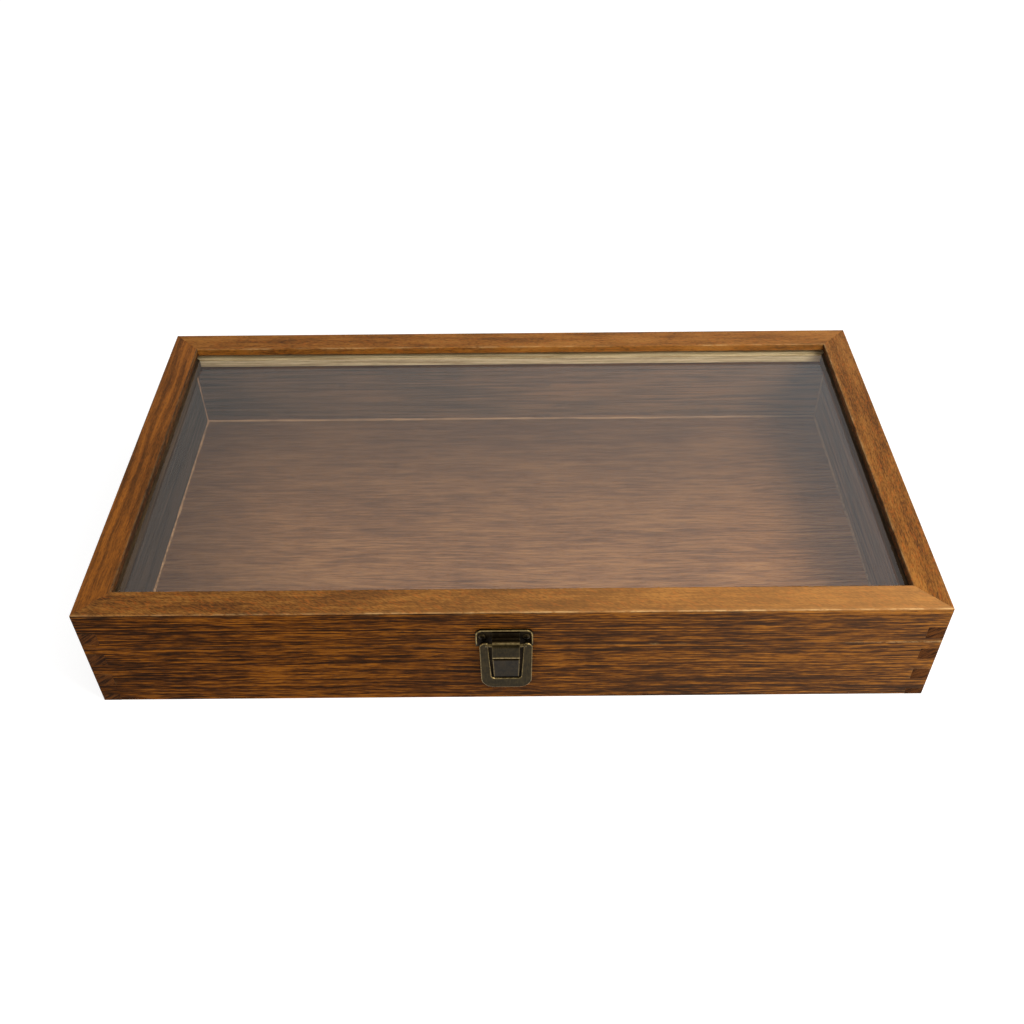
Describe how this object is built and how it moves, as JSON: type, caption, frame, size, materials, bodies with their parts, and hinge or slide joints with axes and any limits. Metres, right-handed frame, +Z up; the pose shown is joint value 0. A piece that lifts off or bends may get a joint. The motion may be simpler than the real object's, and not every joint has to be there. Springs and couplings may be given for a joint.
{
  "type": "glass display showcase",
  "caption": "Shallow wooden counter showcase with a hinged glass-topped lid, finger-jointed corners and a swinging ring clasp that holds the lid shut.",
  "frame": {"origin": "middle of the flat underside, below the centre of the wooden box", "axes": "+X along the front from left to right as seen from the front, +Z up, front towards -Y"},
  "size_m": [0.375, 0.2199, 0.058],
  "materials": {
    "stained_wood": "dark walnut stain with open, brushed grain, satin",
    "frame_wood": "mid-brown stain, satin",
    "panel_ply": "stained plywood, matt",
    "bead_wood": "pale unstained wood, matt",
    "clear_glass": "clear float glass with bright ground edges",
    "antique_bronze": "antique bronze plating, brown in the hollows and bright on worn edges",
    "dark_bronze": "dark bronze plating",
    "bright_steel": "plain bright steel"
  },
  "bodies": {
    "base": {"bottom_panel": "panel_ply", "base_front_board": "stained_wood", "base_right_board": "stained_wood", "base_back_board": "stained_wood", "base_left_board": "stained_wood", "left_hinge_base_leaf": "antique_bronze", "left_hinge_base_screw_1": "dark_bronze", "left_hinge_base_screw_2": "dark_bronze", "left_hinge_pin": "dark_bronze", "right_hinge_base_leaf": "antique_bronze", "right_hinge_base_screw_1": "dark_bronze", "right_hinge_base_screw_2": "dark_bronze", "right_hinge_pin": "dark_bronze", "clasp_base_plate": "antique_bronze", "clasp_keeper": "antique_bronze", "clasp_base_screw_left": "dark_bronze", "clasp_keeper_rivet_left": "dark_bronze", "clasp_base_screw_right": "dark_bronze", "clasp_keeper_rivet_right": "dark_bronze"},
    "lid": {"glass_pane": "clear_glass", "lid_front_board": "stained_wood", "front_frame_rail": "frame_wood", "front_glazing_bead": "bead_wood", "front_bead_brad_1": "bright_steel", "front_bead_brad_2": "bright_steel", "front_bead_brad_3": "bright_steel", "lid_right_board": "stained_wood", "right_frame_rail": "frame_wood", "right_glazing_bead": "bead_wood", "right_bead_brad_1": "bright_steel", "right_bead_brad_2": "bright_steel", "lid_back_board": "stained_wood", "back_frame_rail": "frame_wood", "back_glazing_bead": "bead_wood", "back_bead_brad_1": "bright_steel", "back_bead_brad_2": "bright_steel", "back_bead_brad_3": "bright_steel", "lid_left_board": "stained_wood", "left_frame_rail": "frame_wood", "left_glazing_bead": "bead_wood", "left_bead_brad_1": "bright_steel", "left_bead_brad_2": "bright_steel", "left_hinge_lid_leaf": "antique_bronze", "left_hinge_lid_screw_1": "dark_bronze", "left_hinge_lid_screw_2": "dark_bronze", "right_hinge_lid_leaf": "antique_bronze", "right_hinge_lid_screw_1": "dark_bronze", "right_hinge_lid_screw_2": "dark_bronze", "clasp_lid_plate": "antique_bronze", "clasp_lid_screw_left": "dark_bronze", "clasp_lid_screw_right": "dark_bronze"},
    "clasp_ring": {"clasp_ring": "antique_bronze"}
  },
  "joints": [
    {"name": "lid_hinge", "type": "hinge", "parent": "base", "child": "lid", "pos_m": [0, 0.10725, 0.03662], "axis": [-1, 0, 0], "range_deg": [0, 100]},
    {"name": "clasp_ring_lift", "type": "hinge", "parent": "lid", "child": "clasp_ring", "pos_m": [-0.00255, -0.108, 0.04025], "axis": [-1, 0, 0], "range_deg": [0, 135]}
  ]
}
